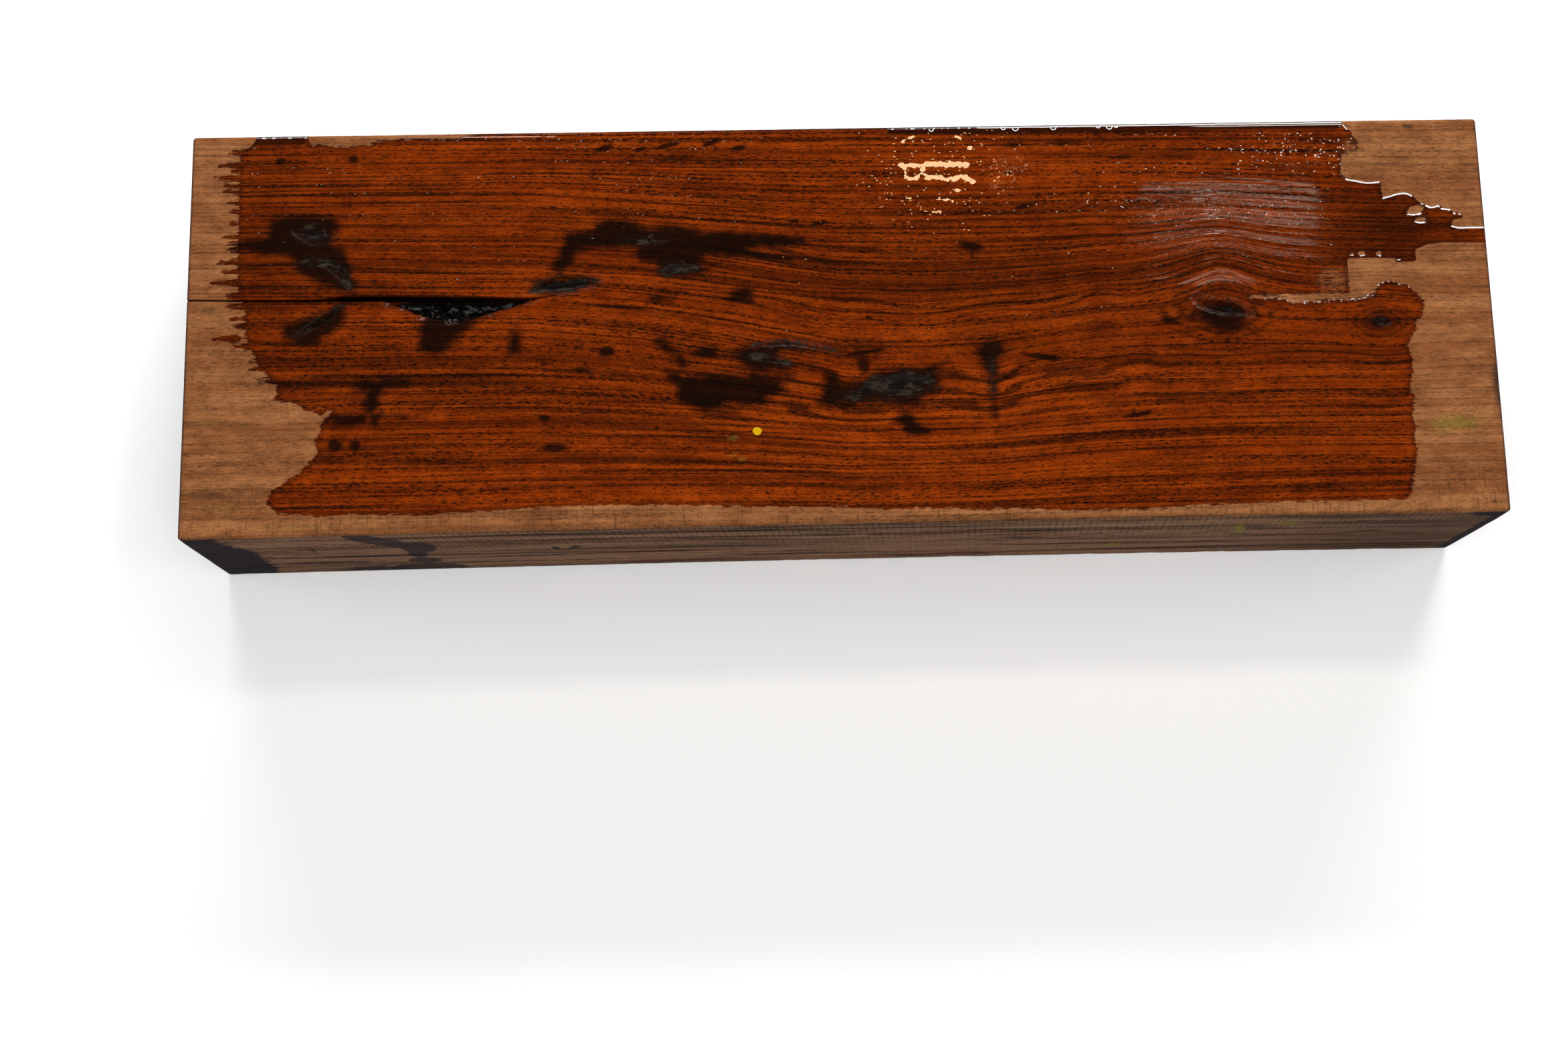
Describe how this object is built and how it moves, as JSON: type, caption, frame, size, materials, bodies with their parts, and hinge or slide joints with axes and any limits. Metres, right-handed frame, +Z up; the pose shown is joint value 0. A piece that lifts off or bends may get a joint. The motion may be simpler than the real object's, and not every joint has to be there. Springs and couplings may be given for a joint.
{
  "type": "cocobolo guitar billet",
  "caption": "Long rough-sawn rectangular block of rosewood tonewood with a drying split, bark pockets and knots in its upper face, to be resawn into guitar backs and sides.",
  "frame": {"origin": "middle of the underside's bounding rectangle, on the surface that the billet rests on", "axes": "+X along the grain towards the sound end, away from the end with the drying split; +Y across the wetted top face towards the back; +Z up, out of the wetted face"},
  "size_m": [0.64, 0.204, 0.096],
  "materials": {
    "cocobolo": "rough sawn, wetted over most of the top face so that the orange and near-black figure shows; dry, tan and matt elsewhere, with dark sealer on the ends"
  },
  "bodies": {
    "root": {"billet": "cocobolo"}
  },
  "joints": []
}
